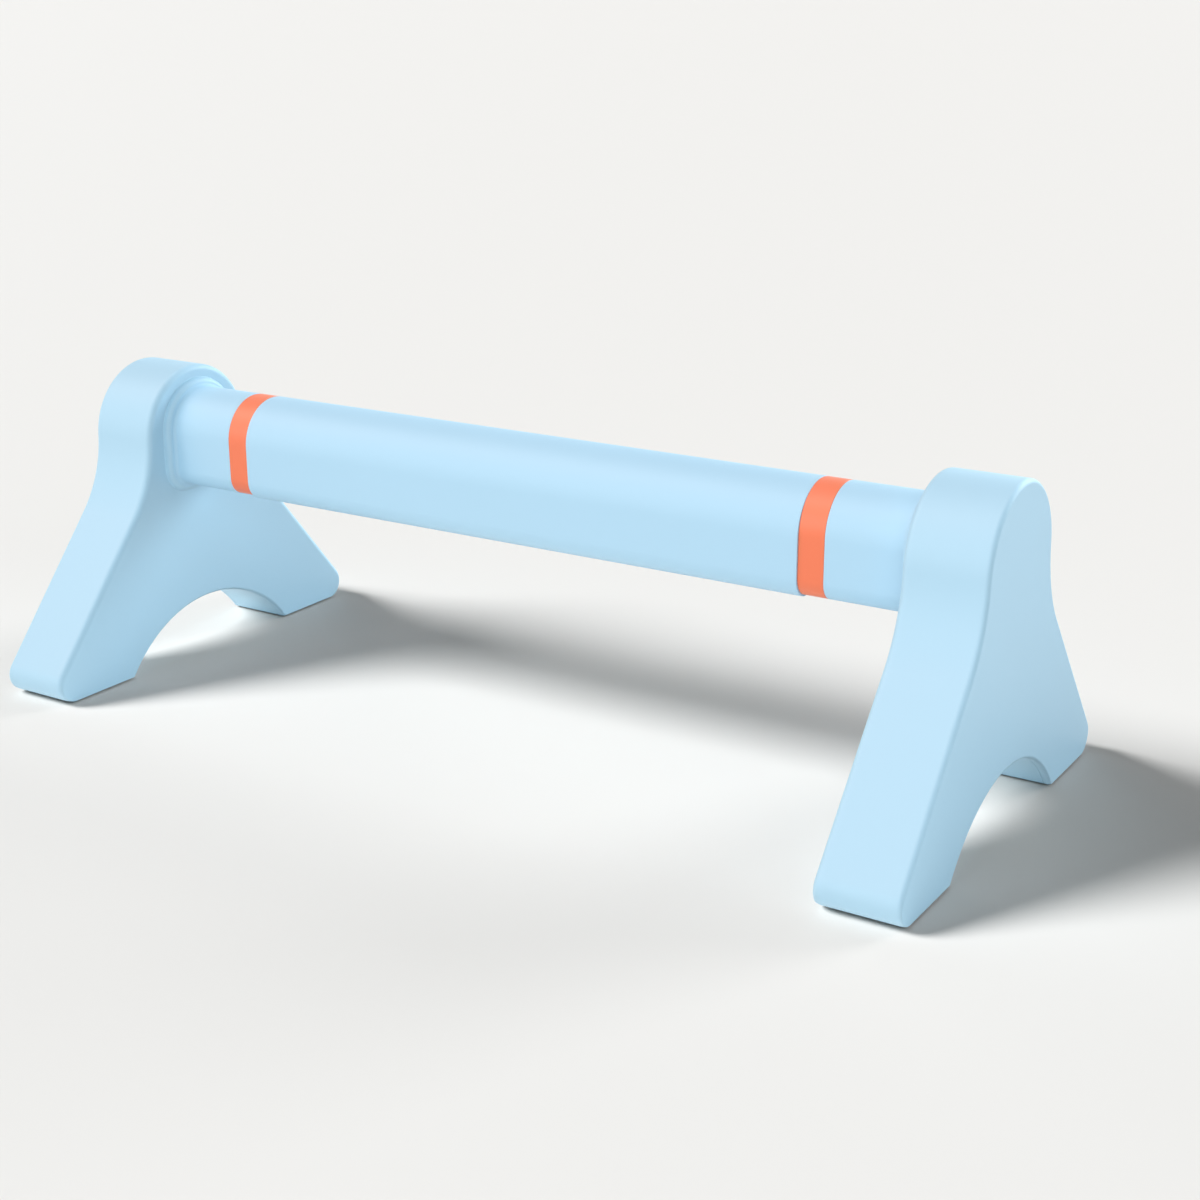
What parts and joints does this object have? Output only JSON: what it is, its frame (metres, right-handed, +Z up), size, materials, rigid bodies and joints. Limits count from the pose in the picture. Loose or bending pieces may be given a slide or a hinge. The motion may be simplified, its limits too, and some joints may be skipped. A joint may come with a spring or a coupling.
{
  "type": "parallette bar",
  "caption": "Low push-up bar for floor training: a D-shaped hand grip with contrasting rings, carried by two arched A-shaped legs on rubber feet.",
  "frame": {"origin": "on the floor, under the middle of the bar", "axes": "+X along the bar towards the right leg, +Y towards the rear feet, +Z up"},
  "size_m": [0.473, 0.2106, 0.15],
  "materials": {
    "leg_plastic": "fine satin moulding, light sky blue",
    "bar_plastic": "fine satin moulding, light sky blue",
    "ring_plastic": "satin coral",
    "pad_rubber": "matt black",
    "tube_steel": "plain drawn tube",
    "plug_aluminium": "turned",
    "zinc_steel": "zinc plated"
  },
  "bodies": {
    "root": {"left_leg_shell": "leg_plastic", "right_leg_shell": "leg_plastic", "left_base_cover": "leg_plastic", "right_base_cover": "leg_plastic", "left_front_foot_pad": "pad_rubber", "left_rear_foot_pad": "pad_rubber", "right_front_foot_pad": "pad_rubber", "right_rear_foot_pad": "pad_rubber", "left_cover_screws": "zinc_steel", "right_cover_screws": "zinc_steel", "left_clamp_bolt": "zinc_steel", "right_clamp_bolt": "zinc_steel", "left_bolt_washer": "zinc_steel", "right_bolt_washer": "zinc_steel", "left_tube_plug": "plug_aluminium", "right_tube_plug": "plug_aluminium", "core_tube": "tube_steel", "centre_grip": "bar_plastic", "left_end_sleeve": "bar_plastic", "right_end_sleeve": "bar_plastic", "left_accent_ring": "ring_plastic", "right_accent_ring": "ring_plastic"}
  },
  "joints": []
}
